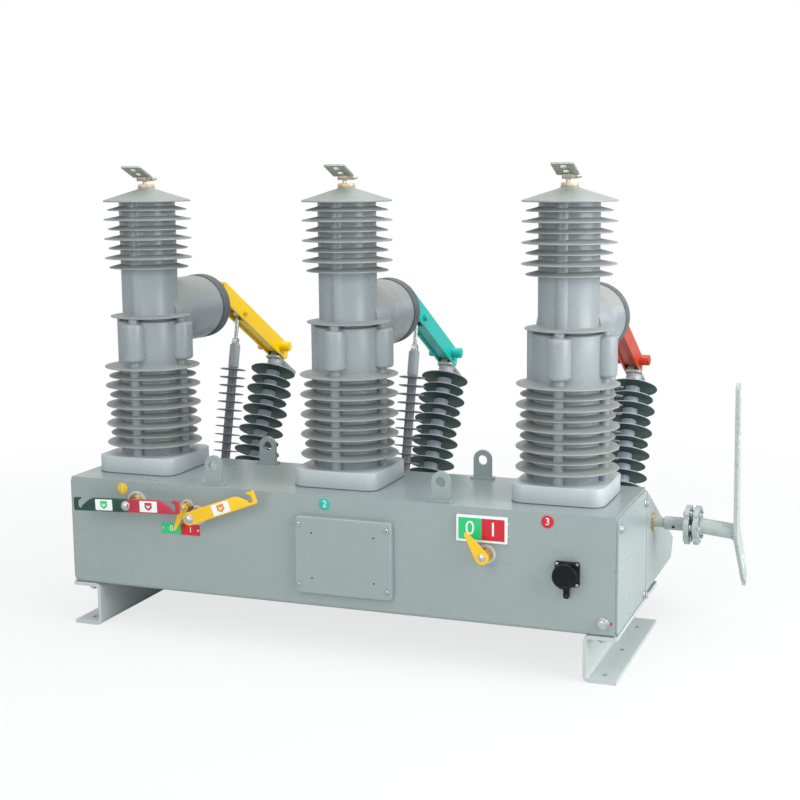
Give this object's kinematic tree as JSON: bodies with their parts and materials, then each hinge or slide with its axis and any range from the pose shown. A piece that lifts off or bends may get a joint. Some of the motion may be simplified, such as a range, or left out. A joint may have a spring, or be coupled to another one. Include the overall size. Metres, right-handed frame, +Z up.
{
  "type": "outdoor vacuum circuit breaker",
  "caption": "Outdoor medium-voltage vacuum circuit breaker: ribbed insulator poles on a steel tank, with hand-operated disconnector blades, posts and pull rods behind.",
  "frame": {"origin": "centre of the rectangle of the four corner foot holes, on the underside of the feet", "axes": "+X along the tank towards the handle, +Y to the back where the disconnector is, +Z up"},
  "size_m": [1.479, 0.9498, 1.0559],
  "materials": {
    "tank_paint": "satin light grey-green paint",
    "foot_paint": "satin light grey paint",
    "pole_resin": "cast silicone rubber, matt grey",
    "post_rubber": "silicone rubber, dark green-grey",
    "rod_rubber": "silicone rubber, purple-grey",
    "ring_rubber": "dark slate rubber",
    "tinned_copper": "tinned, dull",
    "brass": "turned",
    "zinc_steel": "zinc plated",
    "yellow_paint": "gloss yellow",
    "turquoise_paint": "gloss turquoise",
    "red_paint": "gloss orange-red",
    "lever_green_red": "satin, green on the left arm and red on the right",
    "lever_yellow": "satin yellow",
    "sign_enamel": "printed sign plate, green and red",
    "black_plastic": "moulded black plastic"
  },
  "bodies": {
    "frame": {"tank": "tank_paint", "end_covers": "tank_paint", "front_panel": "tank_paint", "foot_left": "foot_paint", "foot_right": "foot_paint", "lifting_lugs": "tank_paint", "hood_roof": "tank_paint", "hood_side_left": "tank_paint", "hood_side_right": "tank_paint", "barrel_rings": "ring_rubber", "terminal_studs": "brass", "shaft_bushings": "brass", "lever_bushes": "brass", "pointer_bushes": "brass", "position_sign": "sign_enamel", "charge_sign": "sign_enamel", "control_socket": "black_plastic", "earthing_bolt": "zinc_steel", "pole_a": "pole_resin", "pole_b": "pole_resin", "pole_c": "pole_resin", "top_terminal_a": "tinned_copper", "top_terminal_b": "tinned_copper", "top_terminal_c": "tinned_copper", "hinge_contact_a": "tinned_copper", "hinge_contact_b": "tinned_copper", "hinge_contact_c": "tinned_copper", "post_a": "post_rubber", "post_b": "post_rubber", "post_c": "post_rubber", "post_fittings_a": "zinc_steel", "post_fittings_b": "zinc_steel", "post_fittings_c": "zinc_steel", "line_terminal_a": "tinned_copper", "line_terminal_b": "tinned_copper", "line_terminal_c": "tinned_copper"},
    "shaft": {"shaft": "zinc_steel", "coupling": "foot_paint", "handle": "foot_paint"},
    "blade_a": {"blade_a": "yellow_paint"},
    "rod_a": {"rod_ends_a": "zinc_steel", "pull_rod_a": "rod_rubber"},
    "blade_b": {"blade_b": "turquoise_paint"},
    "rod_b": {"rod_ends_b": "zinc_steel", "pull_rod_b": "rod_rubber"},
    "blade_c": {"blade_c": "red_paint"},
    "rod_c": {"rod_ends_c": "zinc_steel", "pull_rod_c": "rod_rubber"},
    "trip_lever": {"trip_lever": "lever_green_red"},
    "charging_lever": {"charging_lever": "lever_yellow"},
    "position_pointer": {"position_pointer": "lever_yellow"},
    "charge_pointer": {"charge_pointer": "lever_yellow"}
  },
  "joints": [
    {"name": "shaft_turn", "type": "hinge", "parent": "frame", "child": "shaft", "pos_m": [0, 0.1685, 0.256], "axis": [1, 0, 0], "range_deg": [0, 75]},
    {"name": "blade_turn_a", "type": "hinge", "parent": "frame", "child": "blade_a", "pos_m": [-0.507, 0.2874, 0.731], "axis": [1, 0, 0], "range_deg": [0, 75]},
    {"name": "rod_swing_a", "type": "hinge", "parent": "shaft", "child": "rod_a", "pos_m": [-0.507, 0.28868, 0.19996], "axis": [1, 0, 0], "range_deg": [-75, 0]},
    {"name": "blade_turn_b", "type": "hinge", "parent": "frame", "child": "blade_b", "pos_m": [-0.007, 0.2874, 0.731], "axis": [1, 0, 0], "range_deg": [0, 75]},
    {"name": "rod_swing_b", "type": "hinge", "parent": "shaft", "child": "rod_b", "pos_m": [-0.007, 0.28868, 0.19996], "axis": [1, 0, 0], "range_deg": [-75, 0]},
    {"name": "blade_turn_c", "type": "hinge", "parent": "frame", "child": "blade_c", "pos_m": [0.493, 0.2874, 0.731], "axis": [1, 0, 0], "range_deg": [0, 75]},
    {"name": "rod_swing_c", "type": "hinge", "parent": "shaft", "child": "rod_c", "pos_m": [0.493, 0.28868, 0.19996], "axis": [1, 0, 0], "range_deg": [-75, 0]},
    {"name": "trip_turn", "type": "hinge", "parent": "frame", "child": "trip_lever", "pos_m": [-0.464, -0.2025, 0.304], "axis": [0, 1, 0], "range_deg": [-15, 15]},
    {"name": "charging_turn", "type": "hinge", "parent": "frame", "child": "charging_lever", "pos_m": [-0.311, -0.2025, 0.283], "axis": [0, 1, 0], "range_deg": [0, 50]},
    {"name": "position_turn", "type": "hinge", "parent": "frame", "child": "position_pointer", "pos_m": [0.3635, -0.2025, 0.252], "axis": [0, 1, 0], "range_deg": [0, 72]},
    {"name": "charge_turn", "type": "hinge", "parent": "frame", "child": "charge_pointer", "pos_m": [-0.335, -0.2025, 0.302], "axis": [0, 1, 0], "range_deg": [-35, 0]}
  ],
  "couplings": [
    {"joint": "blade_turn_a", "follows": "shaft_turn", "ratio": 1},
    {"joint": "rod_swing_a", "follows": "shaft_turn", "ratio": -1},
    {"joint": "blade_turn_b", "follows": "shaft_turn", "ratio": 1},
    {"joint": "rod_swing_b", "follows": "shaft_turn", "ratio": -1},
    {"joint": "blade_turn_c", "follows": "shaft_turn", "ratio": 1},
    {"joint": "rod_swing_c", "follows": "shaft_turn", "ratio": -1}
  ]
}
